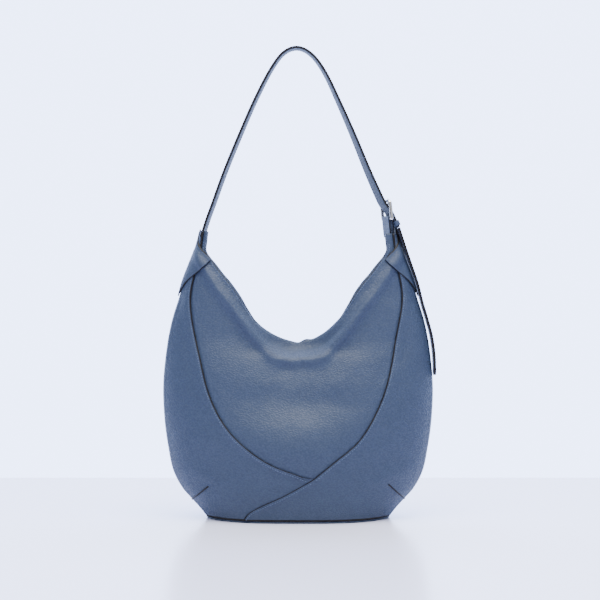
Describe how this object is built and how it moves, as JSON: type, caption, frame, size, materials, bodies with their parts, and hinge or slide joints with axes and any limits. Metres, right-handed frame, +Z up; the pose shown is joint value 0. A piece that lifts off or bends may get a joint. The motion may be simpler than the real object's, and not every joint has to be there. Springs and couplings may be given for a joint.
{
  "type": "hobo bag",
  "caption": "Slouchy crescent-mouthed hobo bag in pebbled leather with overlaid side panels and a narrow shoulder strap closed by a pin buckle.",
  "frame": {"origin": "centre of the base's underside, on the surface that the bag stands on", "axes": "+Z up, front of the bag faces -Y, +X towards the buckle's side"},
  "size_m": [0.3489, 0.1308, 0.6018],
  "materials": {
    "body_leather": "pebbled, semi-matte",
    "edge_leather": "smooth strap leather with dark painted edges",
    "facing_leather": "smooth",
    "base_leather": "pebbled, semi-matte",
    "lining_cloth": "twill weave",
    "board": "pressed fibre",
    "nickel": "polished nickel",
    "zip_cloth": "woven tape",
    "zip_metal": "nickel teeth"
  },
  "bodies": {
    "bag": {"front_left_panel": "body_leather", "front_right_panel": "body_leather", "front_centre_panel": "body_leather", "front_lining": "lining_cloth", "front_facing": "facing_leather", "back_left_panel": "body_leather", "back_right_panel": "body_leather", "back_centre_panel": "body_leather", "back_lining": "lining_cloth", "back_facing": "facing_leather", "base_panel": "base_leather", "base_board": "board", "lining_floor": "lining_cloth", "left_corner_patch": "edge_leather", "right_corner_patch": "edge_leather", "snap_socket": "nickel", "snap_stud": "nickel", "slip_pocket": "lining_cloth", "zip_pocket": "lining_cloth", "zip_upper_tape": "zip_cloth", "zip_lower_tape": "zip_cloth", "zip_teeth": "zip_metal", "zip_left_stop": "zip_metal", "zip_right_stop": "zip_metal"},
    "strap": {"strap_outer_layer": "edge_leather", "strap_inner_layer": "edge_leather", "chape": "edge_leather", "keeper_loop": "edge_leather", "buckle_frame": "nickel", "buckle_pin": "nickel"},
    "prong": {"buckle_prong": "nickel"},
    "tail": {"tail_outer_layer": "edge_leather", "tail_inner_layer": "edge_leather"},
    "zip_slider": {"zip_slider": "zip_metal"},
    "zip_pull": {"zip_pull": "zip_metal"}
  },
  "joints": [
    {"name": "strap_swing", "type": "hinge", "parent": "bag", "child": "strap", "pos_m": [0, 0, 0.38], "axis": [1, 0, 0], "range_deg": [-100, 100]},
    {"name": "prong_lift", "type": "hinge", "parent": "strap", "child": "prong", "pos_m": [0.1142, 0, 0.3826], "axis": [-0.3746, 0.9272, 0], "range_deg": [0, 8]},
    {"name": "tail_lift", "type": "hinge", "parent": "strap", "child": "tail", "pos_m": [0.1315, 0, 0.3704], "axis": [0, -1, 0], "range_deg": [0, 35]},
    {"name": "zip_run", "type": "slide", "parent": "bag", "child": "zip_slider", "axis": [1, 0, 0], "range_m": [0, 0.132]},
    {"name": "zip_pull_lift", "type": "hinge", "parent": "zip_slider", "child": "zip_pull", "pos_m": [-0.0666, 0.019, 0.1717], "axis": [-1, 0, 0], "range_deg": [0, 110]}
  ]
}
